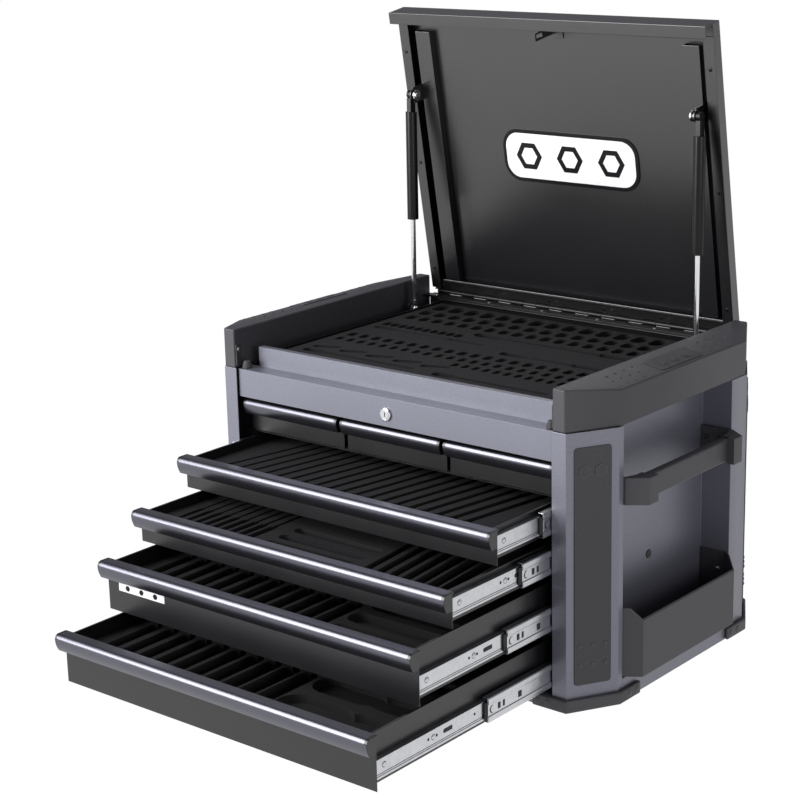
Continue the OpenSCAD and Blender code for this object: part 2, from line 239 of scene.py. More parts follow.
def makePiece(name, bm, body, slotName, replaced=(), sharp=32, mat=None):
    mesh = bpy.data.meshes.new(name)
    bmesh.ops.recalc_face_normals(bm, faces=bm.faces)
    # wide flat faces keep their own normal beside a narrow bevel
    for e in bm.edges:
        e.smooth = not (splitsShading(e) or e.calc_face_angle(0) > math.radians(sharp))
    for f in bm.faces:
        f.smooth = True
    bmesh.ops.triangulate(bm, faces=[f for f in bm.faces if len(f.verts) > 4])
    bm.to_mesh(mesh)
    bm.free()
    piece = bpy.data.objects.new(name, mesh)
    bpy.context.scene.collection.objects.link(piece)
    mesh.materials.append(mat or mats[slotName])
    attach(piece, body)
    if replaced:
        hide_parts(*replaced)
    return piece


def addBox(bm, low, high, bevel=0, segments=2):
    size = [h - l for l, h in zip(low, high)]
    mid = [(h + l) / 2 * mm for l, h in zip(low, high)]
    place = Matrix.Translation(mid) @ Matrix.Diagonal((*[s * mm for s in size], 1))
    made = bmesh.ops.create_cube(bm, size=1, matrix=place)["verts"]
    if bevel:
        # a set would hand the edges over in another order each run
        bevelEdges(bm, list(dict.fromkeys(e for v in made for e in v.link_edges)), bevel, segments)


def bevelEdges(bm, edges, width, segments=2):
    bmesh.ops.bevel(bm, geom=edges, offset=width * mm, offset_type="OFFSET", affect="EDGES",
                    segments=segments, profile=0.5, material=-1, clamp_overlap=True)


def addRod(bm, start, end, radius, segments=24):
    a, b = Vector(start) * mm, Vector(end) * mm
    turn = (b - a).normalized().to_track_quat("Z", "Y").to_matrix().to_4x4()
    place = Matrix.Translation((a + b) / 2) @ turn
    bmesh.ops.create_cone(bm, cap_ends=True, segments=segments, radius1=radius * mm, radius2=radius * mm,
                          depth=(b - a).length, matrix=place)


def addDome(bm, centre, normal, radius, height, segments=12):
    turn = Vector(normal).to_track_quat("Z", "Y").to_matrix().to_4x4()
    size = Matrix.Diagonal((radius * mm, radius * mm, height * mm, 1))
    place = Matrix.Translation(Vector(centre) * mm) @ turn @ size
    bmesh.ops.create_uvsphere(bm, u_segments=segments, v_segments=6, radius=1, matrix=place)


def addPrism(bm, outline, depth):
    # closed outline of 3-D points, pushed along a vector
    verts = [bm.verts.new(Vector(p) * mm) for p in outline]
    face = bm.faces.new(verts)
    grown = bmesh.ops.extrude_face_region(bm, geom=[face])["geom"]
    moved = [g for g in grown if isinstance(g, bmesh.types.BMVert)]
    bmesh.ops.translate(bm, verts=moved, vec=Vector(depth) * mm)
    return verts + moved


def hexagon(cx, cy, radius, z):
    corners = [math.radians(60 * i) for i in range(6)]
    return [(cx + radius * math.cos(a), cy + radius * math.sin(a), z) for a in corners]


def mergedCopy(node):
    bm = bmesh.new()
    bm.from_mesh(nodes[node].data)
    bmesh.ops.remove_doubles(bm, verts=bm.verts, dist=1e-5)
    bmesh.ops.dissolve_limit(bm, angle_limit=math.radians(0.6), verts=bm.verts, edges=bm.edges)
    return bm


def sharpEdges(bm, angle=35):
    return [e for e in bm.edges if len(e.link_faces) == 2 and e.calc_face_angle(0) > math.radians(angle)]


def softened(node, width, segments=2):
    bm = mergedCopy(node)
    bevelEdges(bm, sharpEdges(bm), width, segments)
    return bm


def lidPoint(x, u, t):
    a = math.radians(openLid["angle"])
    return (x, openLid["hingeY"] - u * math.cos(a) + t * math.sin(a),
            openLid["hingeZ"] + u * math.sin(a) + t * math.cos(a))


def lidMatrix():
    a = math.radians(openLid["angle"])
    place = Matrix.Translation((0, openLid["hingeY"] * mm, openLid["hingeZ"] * mm))
    return place @ Matrix.Rotation(-a, 4, "X")


def box(node):
    low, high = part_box(node)
    return [v * 1000 for v in low], [v * 1000 for v in high]


# CAD pieces carried over, each with the width of its folded or moulded edges
edgeWidth = {"side_panel_left": 0.6, "side_panel_right": 0.6, "back_panel": 0.4, "base_pan": 0.5,
             "header_fascia": 0.7, "top_tray": 0.6, "small_drawer_bay": 0.4,
             "handle_bars": 2.2, "storage_bin": 0.8,
             "slide_outer_members": 0.4, "lock_housing": 0.8, "hinge_body_leaf": 0.35, "hinge_lid_leaf": 0.35,
             "strut_feet": 0.6, "lid_striker": 0.5, "strut_lid_brackets": 0.5, "rubber_buffers": 0.4,
             "drawer_1_box": 0.5, "drawer_2_box": 0.5, "drawer_3_box": 0.5, "drawer_4_box": 0.5,
             "small_left_box": 0.5, "small_middle_box": 0.5, "small_right_box": 0.5,
             "strut_rod_left": 0.5, "strut_rod_right": 0.5, "strut_tube_left": 0.9, "strut_tube_right": 0.9,
             "lid_skin": 0.6, "lid_channels": 0.5, "lock_cylinder": 0.3, "hinge_pin": 0.2}


# these catch the floor at a low angle, so they take the duller black
smoothBlack = {"hinge_body_leaf": "tube_paint", "hinge_lid_leaf": "tube_paint", "top_tray": "tube_paint"}


def camelName(node):
    words = node.split("_")
    return words[0] + "".join(w.capitalize() for w in words[1:])


def carryOver():
    for node, width in edgeWidth.items():
        makePiece(camelName(node), softened(node, width), nodeBody[node], nodeSlot[node], (node,),
                  mat=mats[smoothBlack.get(node, nodeSlot[node])])


carryOver()
print("carried-over pieces done")


# grip dots on the slope of the side rails
railLook = {"edge": 2.2, "dotRadius": 2.3, "dotHeight": 1.1, "dotRows": (312.5, 327, 342),
            "dotStart": (-142, -149, -156), "dotPitch": 20.3, "dotCount": 4, "rearShift": 230,
            "dotTilt": (0.194, 0.981), "slopeFrom": 309.5, "slopeTo": 350, "drop": 8, "top": 454}


def slopeHeight(x):
    k = railLook
    return k["top"] - (abs(x) - k["slopeFrom"]) * k["drop"] / (k["slopeTo"] - k["slopeFrom"])


def buildRails():
    k = railLook
    for side, node in ((-1, "side_rail_left"), (1, "side_rail_right")):
        bm = softened(node, k["edge"], 3)
        for x, start in zip(k["dotRows"], k["dotStart"]):
            for group in (0, k["rearShift"]):
                for i in range(k["dotCount"]):
                    y = start + group + i * k["dotPitch"]
                    out = (side * k["dotTilt"][0], 0, k["dotTilt"][1])
                    addDome(bm, (side * x, y, slopeHeight(x)), out, k["dotRadius"], k["dotHeight"])
        makePiece(camelName(node), bm, "chest", "textured_plastic", (node,))


insertLook = {"edge": 0.4, "x": 330, "nuts": (-26, 0, 26), "nutRadius": 9, "nutWall": 2.6, "lift": 0.9,
              "nutHeight": 0.8, "holeHeight": 1.0}


def buildRailInserts():
    k = insertLook
    bm = softened("rail_inserts", k["edge"])
    makePiece("railInserts", bm, "chest", "insert_plastic", ("rail_inserts",))
    marks, holes = bmesh.new(), bmesh.new()
    slope = math.atan2(railLook["drop"], railLook["slopeTo"] - railLook["slopeFrom"])
    for side in (-1, 1):
        tilt = Matrix.Rotation(side * slope, 4, "Y")
        for y in k["nuts"]:
            place = Matrix.Translation((side * k["x"] * mm, y * mm, (slopeHeight(k["x"]) + k["lift"]) * mm)) @ tilt
            verts = addPrism(marks, hexagon(0, 0, k["nutRadius"], 0), (0, 0, k["nutHeight"]))
            bmesh.ops.transform(marks, matrix=place, verts=verts)
            verts = addPrism(holes, hexagon(0, 0, k["nutRadius"] - k["nutWall"], 0), (0, 0, k["holeHeight"]))
            bmesh.ops.transform(holes, matrix=place, verts=verts)
    makePiece("railInsertMarks", marks, "chest", "emblem", mat=mats["textured_plastic"])
    makePiece("railInsertHoles", holes, "chest", "emblem", mat=mats["insert_plastic"])


# dots and hexagons on the slanted corner panels
cornerLook = {"edge": 0.7, "middle": (330.5, -199.5), "run": (39, 67), "dotSteps": (-19, 0, 19),
              "dotHeights": (93.5, 66), "dotRadius": 3.2, "dotRise": 1.4, "markSteps": (-12, 12),
              "markHeight": 340, "markRadius": 10, "markWall": 3, "faceAt": 1.4}


def cornerPoint(sideX, sideY, along, out, z):
    # along runs from the middle of the corner face, out stands away from it
    k = cornerLook
    dx, dy = (v / 77.52 for v in k["run"])  # 77.52 is the length of that run
    x = k["middle"][0] + along * dx + out * dy
    y = k["middle"][1] + along * dy - out * dx
    return Vector((sideX * x, -sideY * y, z))


def buildCornerPanels():
    k = cornerLook
    bm = softened("corner_panels", k["edge"])
    marks, holes = bmesh.new(), bmesh.new()
    for sx in (-1, 1):
        for sy in (-1, 1):
            out = cornerPoint(sx, sy, 0, 1, 0) - cornerPoint(sx, sy, 0, 0, 0)
            for a in k["dotSteps"]:
                for z in k["dotHeights"]:
                    addDome(marks, cornerPoint(sx, sy, a, k["faceAt"] + 0.1, z), out, k["dotRadius"], k["dotRise"])
            for step in k["markSteps"]:
                centre = cornerPoint(sx, sy, step, k["faceAt"], k["markHeight"])
                addRod(marks, centre, centre + out * 0.9, k["markRadius"], 6)
                addRod(holes, centre + out * 0.5, centre + out * 1.0, k["markRadius"] - k["markWall"], 6)
    makePiece("cornerPanels", bm, "chest", "textured_plastic", ("corner_panels",), mat=mats["insert_plastic"])
    makePiece("cornerPanelHoles", holes, "chest", "textured_plastic", mat=mats["insert_plastic"])
    makePiece("cornerPanelMarks", marks, "chest", "insert_plastic", mat=mats["textured_plastic"])


bracketLook = {"edge": 1.6, "rounding": 3}


def buildHandleBrackets():
    bm = softened("handle_brackets", bracketLook["edge"], bracketLook["rounding"])
    makePiece("handleBrackets", bm, "chest", "textured_plastic", ("handle_brackets",))


bumperLook = {"edge": 2.9, "headsX": (266, 284), "headsY": (127, 145), "frontFace": 238.7, "sideFace": 355.7,
              "headZ": 9.5, "headRadius": 6, "headRise": 1.2}


def buildBumpers():
    k = bumperLook
    bm = softened("corner_bumpers", k["edge"], 4)
    for sx in (-1, 1):
        for sy in (-1, 1):
            for x in k["headsX"]:
                addDome(bm, (sx * x, sy * k["frontFace"], k["headZ"]), (0, sy, 0), k["headRadius"], k["headRise"], 20)
            for y in k["headsY"]:
                addDome(bm, (sx * k["sideFace"], sy * y, k["headZ"]), (sx, 0, 0), k["headRadius"], k["headRise"], 20)
    makePiece("cornerBumpers", bm, "chest", "textured_plastic", ("corner_bumpers",))


# a head is its radius and its rise, a face is where a bracket ends and which way the screw looks
screwLook = {"handleX": (312, 332), "handleFaces": ((-149.8, 1), (118.8, -1)), "handleZ": 304, "handleHead": (5, 2),
             "headerAt": (286.95, -226, 423), "headerHead": (3.2, 0.6),
             "sideBoltAt": (302, -17, 164), "sideBoltHead": (6.5, 1.6),
             "hingeX": (52.5, 157.5, 265), "hingeY": 221, "hingeZ": 425.4, "hingeHead": (3.4, 1),
             "binX": 333, "binFaces": ((-152.9, 1), (121.9, -1)), "binZ": 106, "binHead": (4.2, 1.8)}


def addScrew(bm, shadeVoids, centre, normal, radius, height):
    # dome head with a cross let into it, the cross drawn as thin dark boxes of painted shade
    n = Vector(normal).normalized()
    addDome(bm, centre, n, radius, height, 16)
    side = n.orthogonal().normalized()
    other = n.cross(side)
    top = Vector(centre) + n * (height - 0.25)
    for a, b in ((side, other), (other, side)):
        turn = Matrix((a, b, n)).transposed().to_4x4()
        slot = Matrix.Diagonal((radius * 1.1 * mm, radius * 0.24 * mm, 0.6 * mm, 1))
        bmesh.ops.create_cube(shadeVoids, size=1, matrix=Matrix.Translation(top * mm) @ turn @ slot)


def buildFasteners():
    k = screwLook
    bm, dark, shadeVoids = bmesh.new(), bmesh.new(), bmesh.new()
    for side in (-1, 1):
        for x in k["handleX"]:
            for y, way in k["handleFaces"]:
                addScrew(dark, shadeVoids, (side * x, y, k["handleZ"]), (0, way, 0), *k["handleHead"])
        x, y, z = k["headerAt"]
        addScrew(bm, shadeVoids, (side * x, y, z), (-side, 0, 0), *k["headerHead"])
        x, y, z = k["sideBoltAt"]
        addDome(dark, (side * x, y, z), (side, 0, 0), *k["sideBoltHead"], 16)
        for x in k["hingeX"]:
            addDome(bm, (side * x, k["hingeY"], k["hingeZ"]), (0, 0, 1), *k["hingeHead"])
    for y, way in k["binFaces"]:
        addScrew(bm, shadeVoids, (k["binX"], y, k["binZ"]), (0, way, 0), *k["binHead"])
    makePiece("bodyFasteners", bm, "chest", "zinc", ("body_fasteners",))
    makePiece("handleScrews", dark, "chest", "textured_plastic", mat=mats["tube_paint"])
    # the dark crosses in the screw heads are painted shade
    makePiece("screwRecessShade", shadeVoids, "chest", "insert_plastic", mat=paintedShadeMat)


# u runs up the lid from the hinge line
lidLook = {"flangeX": 277, "flangeRivets": (404, 222, 41), "flangeAt": -1.4, "flangeHead": (3.4, 1.1),
           "leafRivets": (52.5, 157.5, 265, 276.5), "leafU": 10, "leafAt": 2.8, "leafHead": (3.2, 1)}


def buildLidRivets():
    k = lidLook
    a = math.radians(openLid["angle"])
    down = (0, -math.sin(a), -math.cos(a))
    bm = bmesh.new()
    for side in (-1, 1):
        for u in k["flangeRivets"]:
            addDome(bm, lidPoint(side * k["flangeX"], u, k["flangeAt"]), down, *k["flangeHead"])
        for x in k["leafRivets"]:
            addDome(bm, lidPoint(side * x, k["leafU"], k["leafAt"]), down, *k["leafHead"])
    makePiece("lidRivets", bm, "lid", "lid_paint", mat=mats["tube_paint"])


# the base plate comes first, then the field and the three nuts in front of it
emblemLook = {"x": 8, "u": 245, "width": 250, "height": 84, "corner": 30, "border": 6, "baseAt": 13.4,
              "baseThick": 1.5, "fieldAt": 13.1, "nutAt": 12.8, "thick": 0.4, "nuts": (-76, 0, 76),
              "nutRadius": 24, "nutWall": 9}


def roundedOutline(cx, cy, w, h, r, z, steps=8):
    pts = []
    for qx, qy, start in ((1, 1, 0), (-1, 1, 90), (-1, -1, 180), (1, -1, 270)):
        for i in range(steps + 1):
            a = math.radians(start + 90 * i / steps)
            pts.append((cx + qx * (w / 2 - r) + r * math.cos(a), cy + qy * (h / 2 - r) + r * math.sin(a), z))
    return pts


def buildEmblem():
    k = emblemLook
    x, y, w, h, r, b = k["x"], -k["u"], k["width"], k["height"], k["corner"], k["border"]
    edge = bmesh.new()
    addPrism(edge, roundedOutline(x, y, w, h, r, k["baseAt"]), (0, 0, k["baseThick"]))
    bmesh.ops.transform(edge, matrix=lidMatrix(), verts=edge.verts)
    makePiece("lidEmblem", edge, "lid", "emblem", ("lid_emblem",), mat=mats["tube_paint"])
    face = bmesh.new()
    addPrism(face, roundedOutline(x, y, w - 2 * b, h - 2 * b, r - b, k["fieldAt"]), (0, 0, k["thick"]))
    bmesh.ops.transform(face, matrix=lidMatrix(), verts=face.verts)
    makePiece("lidEmblemField", face, "lid", "emblem")
    marks = bmesh.new()
    for shift in k["nuts"]:
        verts = addPrism(marks, hexagon(x + shift, y, k["nutRadius"], k["nutAt"]), (0, 0, k["thick"]))
        flats = [f for v in verts for f in v.link_faces if len(f.verts) == 6]
        low = min(flats, key=lambda f: f.calc_center_median().z)
        bmesh.ops.inset_region(marks, faces=[low], thickness=k["nutWall"] * mm)
        bmesh.ops.delete(marks, geom=[low], context="FACES_ONLY")
    bmesh.ops.transform(marks, matrix=lidMatrix(), verts=marks.verts)
    makePiece("lidEmblemMarks", marks, "lid", "emblem", mat=mats["tube_paint"])


# blank plate with three nuts on the front of drawer 3
plateLook = {"x": -262, "width": 92, "height": 13, "drop": 22, "nutSize": 0.34}


def buildPlate():
    k = plateLook
    low, high = box("drawer_3_box")
    x, w, h, y = k["x"], k["width"], k["height"], low[1]
    z = high[2] - k["drop"] - h
    r = h * k["nutSize"]
    plate, marks = bmesh.new(), bmesh.new()
    addBox(plate, (x, y - 0.5, z - h / 2), (x + w, y + 0.2, z + h / 2), 0.3, 1)
    for i in range(3):
        nut = hexagon(x + w * (0.2 + 0.3 * i), z, r, y - 0.9)
        addPrism(marks, [(px, py, pz) for px, pz, py in nut], (0, 0.5, 0))
    makePiece("drawer3Plate", plate, "drawer_3", "drawer_paint", mat=mats["emblem"])
    makePiece("drawer3PlateNuts", marks, "drawer_3", "drawer_paint", mat=mats["tube_paint"])


strutLook = {"lidX": 252, "lidU": 340, "lidT": -18, "lidHead": (6.5, 1.6), "collarRadius": 8, "collarThick": 2,
             "footAt": (260, 162, 414), "footHead": (4.5, 2.5)}


def buildStrutBolts():
    k = strutLook
    bm = bmesh.new()
    for side in (-1, 1):
        a = Vector(lidPoint(side * k["lidX"], k["lidU"], k["lidT"]))
        addDome(bm, a, (-side, 0, 0), *k["lidHead"], 16)
        addRod(bm, a, a + Vector((side * k["collarThick"], 0, 0)), k["collarRadius"], 20)
    makePiece("strutBolts", bm, "lid", "chrome", mat=mats["chrome"])
    foot = bmesh.new()
    x, y, z = k["footAt"]
    for side in (-1, 1):
        addDome(foot, (side * x, y, z), (-side, 0, 0), *k["footHead"], 16)
    makePiece("strutFootBolts", foot, "chest", "chrome")


# each ring is its outer radius, the y it stands at and its width
lockLook = {"z": 370, "rings": ((8.4, -231.6, 1.1), (6.6, -231.9, 0.7)), "thick": 0.5}


def buildLock():
    k = lockLook
    bm = bmesh.new()
    for r, y, w in k["rings"]:
        ring = bmesh.ops.create_circle(bm, segments=40, radius=r * mm)["verts"]
        edges = list(dict.fromkeys(e for v in ring for e in v.link_edges))
        place = Matrix.Translation((0, y * mm, k["z"] * mm)) @ Matrix.Rotation(math.pi / 2, 4, "X")
        bmesh.ops.transform(bm, matrix=place, verts=ring)
        grown = bmesh.ops.extrude_edge_only(bm, edges=edges)["geom"]
        top = [g for g in grown if isinstance(g, bmesh.types.BMVert)]
        inward = ((r - w) / r, 1, (r - w) / r)
        bmesh.ops.scale(bm, verts=top, vec=inward, space=Matrix.Translation((0, 0, -k["z"] * mm)))
    bmesh.ops.solidify(bm, geom=bm.faces, thickness=k["thick"] * mm)
    makePiece("lockRings", bm, "chest", "chrome")


buildRails()
buildRailInserts()
buildCornerPanels()
buildHandleBrackets()
buildBumpers()
buildFasteners()
buildLidRivets()
buildEmblem()
buildPlate()
buildStrutBolts()
buildLock()
print("chest and lid details done")


# shelf is the flat top of a pull, hookSweep is how far its lower edge comes back
pullLook = {"back": 3, "shelf": 11, "noseRadius": 7, "noseSteps": 8, "hookSweep": 5.5, "hookSteps": 6,
            "topWall": 2.2, "noseWall": 2.2, "shelfWall": 1.6, "capWidth": 5, "capEdge": 0.35}


def pullOutline(y, top, height):
    # outer line of the nose from the back of the lip, round the front, down to the hook
    k = pullLook
    r = k["noseRadius"]
    pts = [(y + k["back"], top), (y - k["shelf"], top)]
    for i in range(1, k["noseSteps"] + 1):
        a = math.pi / 2 * i / k["noseSteps"]
        pts.append((y - k["shelf"] - r * math.sin(a), top - r * (1 - math.cos(a))))
    for i in range(1, k["hookSteps"] + 1):
        a = i / k["hookSteps"]
        pts.append((y - (k["shelf"] + r) + k["hookSweep"] * a * a, top - r - (height - r) * a))
    return pts


def pullInside(y, top, outer):
    # the same line one wall further in, run backwards to close the section
    k = pullLook
    pts = []
    for py, pz in reversed(outer):
        wall = k["noseWall"] if py < y - k["shelf"] - 1 else k["shelfWall"] if py < y - k["shelf"] else 0
        pts.append((py + wall, pz - (k["topWall"] if pz > top - 6 else 0)))
    pts[-1] = (y + k["back"], top - 2)
    return pts


def buildPull(name, node, body):
    k = pullLook
    low, high = box(node)
    y, top = high[1] - k["back"], high[2]
    outer = pullOutline(y, top, high[2] - low[2])
    outline = [(low[0] + 1, py, pz) for py, pz in outer + pullInside(y, top, outer)]
    bm = bmesh.new()
    addPrism(bm, outline, (high[0] - low[0] - 2, 0, 0))
    addBox(bm, (low[0] + 1, y - 1.4, low[2]), (high[0] - 1, y - 0.2, top - 2.2))
    makePiece(name, bm, body, "pull_metal", (node,), sharp=40)
    caps = bmesh.new()
    closed = outer + [(y - 0.3, low[2]), (y - 0.3, top - 2.4), (y + k["back"], top - 2.4)]
    for x in (low[0], high[0] - k["capWidth"]):
        addPrism(caps, [(x, py, pz + 0.01) for py, pz in closed], (k["capWidth"], 0, 0))
    bevelEdges(caps, sharpEdges(caps, 60), k["capEdge"], 1)
    makePiece(name + "Caps", caps, body, "pull_metal", mat=mats["drawer_paint"])


for i in (1, 2, 3, 4):
    buildPull("drawer%dPull" % i, "drawer_%d_pull" % i, "drawer_%d" % i)
for part in ("left", "middle", "right"):
    buildPull("small%sPull" % part.capitalize(), "small_%s_pull" % part, "small_drawer_" + part)
print("pulls done")


# distances along a slide are counted from its front end
slideLook = {"edge": 0.35, "innerFace": 281.2, "rivetRadius": 3.6, "rivetRise": 1.6, "holeRadius": 2, "holesUp": 3,
             "innerRivets": (17, 114, 300), "innerHoles": (104, 121, 200, 240), "slotAt": 137, "slotLength": 16,
             "grooveDrop": 6.5, "grooveEnd": 380, "flangeEnd": 390, "midFace": 285.75, "raceInner": 7.5,
             "raceOuter": 17.4, "midWindows": ((21, 6), (32, 4.5), (66, 8), (150, 8)), "windowHalf": 4.5,
             "stopFrom": 281.6, "stopTo": 284.5}


def slideInner(bm, shadeVoids, low, z):
    k = slideLook
    up = z + k["holesUp"]
    for side in (-1, 1):
        face = side * k["innerFace"]
        # the dark rims round the rivets, the holes, the slot and the groove strip below are painted shade
        for y in k["innerRivets"]:
            centre = (face, low[1] + y, up)
            addDome(bm, centre, (side, 0, 0), k["rivetRadius"], k["rivetRise"], 16)
            addRod(shadeVoids, centre, (face + side * 0.1, low[1] + y, up), k["rivetRadius"] + 0.5, 24)
        for y in k["innerHoles"]:
            addRod(shadeVoids, (face, low[1] + y, up), (face + side * 0.12, low[1] + y, up), k["holeRadius"], 16)
        a, b = sorted((face - side * 0.1, face + side * 0.12))
        start = low[1] + k["slotAt"]
        addBox(shadeVoids, (a, start, z), (b, start + k["slotLength"], z + 6))
        addRod(shadeVoids, (a, start, up), (b, start, up), 3, 16)
        addBox(shadeVoids, (a, low[1] + 1, z - k["grooveDrop"] - 0.9), (b, low[1] + k["grooveEnd"], z - k["grooveDrop"]))
        a, b = sorted((face - side * 0.2, face + side * 0.8))
        addBox(bm, (a, low[1] + 0.5, z - 13), (b, low[1] + k["flangeEnd"], z - 9.4), k["edge"], 1)


def slideMid(bm, shadeVoids, low, high, z):
    # a race bulges out above and below the web, and dark windows of painted shade stand for the openings in it
    k = slideLook
    for side in (-1, 1):
        face = side * k["midFace"]
        for s in (-1, 1):
            near, far = z + s * k["raceInner"], z + s * k["raceOuter"]
            steps = ((0, near), (1.1, near + s * 1.4), (1.35, (near + far) / 2), (1.1, far - s * 1.4), (0, far))
            addPrism(bm, [(face + side * d, low[1], h) for d, h in steps], (0, high[1] - low[1], 0))
        a, b = sorted((face - side * 0.1, face + side * 0.15))
        for y, w in k["midWindows"]:
            addBox(shadeVoids, (a, low[1] + y, z - k["windowHalf"]), (b, low[1] + y + w, z + k["windowHalf"]))
        # a dark disc set a little in front of the zinc disc leaves a crescent of painted shade round its front
        addRod(shadeVoids, (a, low[1] + 9, z), (b, low[1] + 9, z), 5.6, 20)
        addRod(bm, (face, low[1] + 10.4, z), (face + side * 0.3, low[1] + 10.4, z), 4.9, 20)
        # dark block filling the gap between the inner and middle members at the front end
        a, b = sorted((side * k["stopFrom"], side * k["stopTo"]))
        addBox(shadeVoids, (a, low[1] - 5, z - 12), (b, low[1] + 3, z + 12), 1, 2)


def buildSlides():
    edge = slideLook["edge"]
    for i in (1, 2, 3, 4):
        inner = "drawer_%d_slide_inner" % i
        low, high = box(inner)
        z = (low[2] + high[2]) / 2
        bm, shadeVoids = softened(inner, edge), bmesh.new()
        slideInner(bm, shadeVoids, low, z)
        makePiece("drawer%dSlideInner" % i, bm, "drawer_%d" % i, "zinc", (inner,))
        makePiece("drawer%dSlideHoles" % i, shadeVoids, "drawer_%d" % i, "zinc", mat=paintedShadeMat)
        mid = "drawer_%d_slide_mid" % i
        low, high = box(mid)
        z = (low[2] + high[2]) / 2
        bm, shadeVoids = softened(mid, edge), bmesh.new()
        slideMid(bm, shadeVoids, low, high, z)
        makePiece("drawer%dSlideMid" % i, bm, "slide_mid_%d" % i, "zinc", (mid,))
        makePiece("drawer%dSlideWindows" % i, shadeVoids, "slide_mid_%d" % i, "zinc", mat=paintedShadeMat)


buildSlides()
print("slides done")


# foam sheets and the pockets cut in them
foamLook = {"edge": 1.5, "gripDepth": 14, "socketDepth": 13, "blockDepth": 12, "slimDepth": 10}


def capsulePocket(bm, x0, y0, x1, y1, width, top, depth):
    # round-ended pocket between two points, open at the top of the foam
    a, b = Vector((x0, y0)), Vector((x1, y1))
    along = (b - a).normalized()
    turn = math.atan2(along.y, along.x)
    pts = []
    for i in range(9):
        c = turn - math.pi / 2 + math.pi * i / 8
        pts.append((b.x + width / 2 * math.cos(c), b.y + width / 2 * math.sin(c), top + 1))
    for i in range(9):
        c = turn + math.pi / 2 + math.pi * i / 8
        pts.append((a.x + width / 2 * math.cos(c), a.y + width / 2 * math.sin(c), top + 1))
    addPrism(bm, pts, (0, 0, -depth - 1))


def cutPockets(name, node, body, cut):
    low, high = box(node)
    bm = bmesh.new()
    addBox(bm, low, high, foamLook["edge"], 2)
    slab = makePiece(name, bm, body, "foam", (node,))
    bmesh.ops.recalc_face_normals(cut, faces=cut.faces)
    mesh = bpy.data.meshes.new("cut")
    cut.to_mesh(mesh)
    cut.free()
    tool = bpy.data.objects.new("cut", mesh)
    bpy.context.scene.collection.objects.link(tool)
    mod = slab.modifiers.new("pocket", "BOOLEAN")
    mod.operation = "DIFFERENCE"
    mod.solver = "EXACT"
    mod.use_self = True
    mod.object = tool
    bpy.context.view_layer.update()
    graph = bpy.context.evaluated_depsgraph_get()
    shaped = bpy.data.meshes.new_from_object(slab.evaluated_get(graph))
    slab.modifiers.clear()
    slab.data = shaped
    bpy.data.objects.remove(tool)
    slab.data.shade_smooth()
    slab.data.set_sharp_from_angle(angle=math.radians(32))


# deep sockets are y, width, length and count; ratchets y, width and ends; sockets y, width, count and ends
trayLook = {"deepSockets": ((180, 26, 34, 15), (140, 23, 26, 16), (104, 20, 24, 18)), "deepFrom": -222, "deepRun": 444,
            "ratchets": ((70, 22, -60, 226), (-2, 18, 40, 226), (22, 12, -226, -20)),
            "sockets": ((48, 15, 10, -226, -84), (-36, 16, 20, -226, 226), (-66, 13, 22, -226, 226),
                        (-94, 12, 12, 20, 226)),
            "bitCount": 5, "bitPitch": 52,
            "bars": ((-146, -220, -20), (-172, -220, 10), (-150, 30, 220), (-176, 40, 224)), "barDepth": 11}


def trayPockets(top):
    k = trayLook
    socket, block, slim = foamLook["socketDepth"], foamLook["blockDepth"], foamLook["slimDepth"]
    bm = bmesh.new()
    for y, width, length, count in k["deepSockets"]:
        for i in range(count):
            x = k["deepFrom"] + k["deepRun"] * i / (count - 1)
            y0, y1 = y - length / 2 + width / 2 - 4, y + length / 2 - width / 2 + 4
            capsulePocket(bm, x, y0, x, y1, width - 3, top, socket)
    for y, width, x0, x1 in k["ratchets"]:
        capsulePocket(bm, x0, y, x1, y, width * 0.5, top, block)
        capsulePocket(bm, x0, y, x0 + 34, y, width, top, socket)
        capsulePocket(bm, x1 - 62, y, x1, y, width * 0.9, top, socket)
    for y, width, count, x0, x1 in k["sockets"]:
        for i in range(count):
            x = x0 + (x1 - x0) * i / (count - 1)
            capsulePocket(bm, x, y - 5, x, y + 5, width - 2, top, slim)
    for i in range(k["bitCount"]):
        step = k["bitPitch"] * i
        capsulePocket(bm, -222 + step, -124, -190 + step, -112, 13, top, k["barDepth"])
    for y, x0, x1 in k["bars"]:
        capsulePocket(bm, x0, y, x1, y, 9, top, k["barDepth"])
        capsulePocket(bm, x0, y, x0 + 22, y, 17, top, k["barDepth"])
    return bm


def wrenchPockets(low, high, count, slant, y0, y1):
    # slanted row of wrenches, small at the left and large at the right
    top = high[2]
    bm = bmesh.new()
    for i in range(count):
        x = low[0] + 34 + (high[0] - low[0] - 68 - slant) * i / (count - 1)
        size = 13 + 9 * i / count
        start = low[1] + y0
        end = low[1] + y1 - 60 * (1 - i / count)
        capsulePocket(bm, x, start, x + slant, end, size * 0.5, top, 9)
        capsulePocket(bm, x, start, x + 0.06 * slant, start + 10, size, top, 10)
        capsulePocket(bm, x + slant, end, x + 0.94 * slant, end - 10, size, top, 10)
    return bm


def driverPockets(low, high, count, x0, x1, y0, length, grip):
    # wide pocket for the grip, slim one for the blade
    top = high[2]
    bm = bmesh.new()
    for i in range(count):
        x = low[0] + x0 + (x1 - x0) * i / (count - 1)
        size = grip * (0.7 + 0.3 * i / count)
        y = low[1] + y0
        capsulePocket(bm, x, y, x, y + length * 0.45, size, top, foamLook["gripDepth"])
        capsulePocket(bm, x, y + length * 0.4, x, y + length, size * 0.45, top, foamLook["slimDepth"])
    return bm


def blockPockets(bm, low, high, rows):
    top = high[2]
    for x0, x1, y0, y1, width in rows:
        capsulePocket(bm, low[0] + x0, low[1] + y0, low[0] + x1, low[1] + y1, width, top, foamLook["blockDepth"])


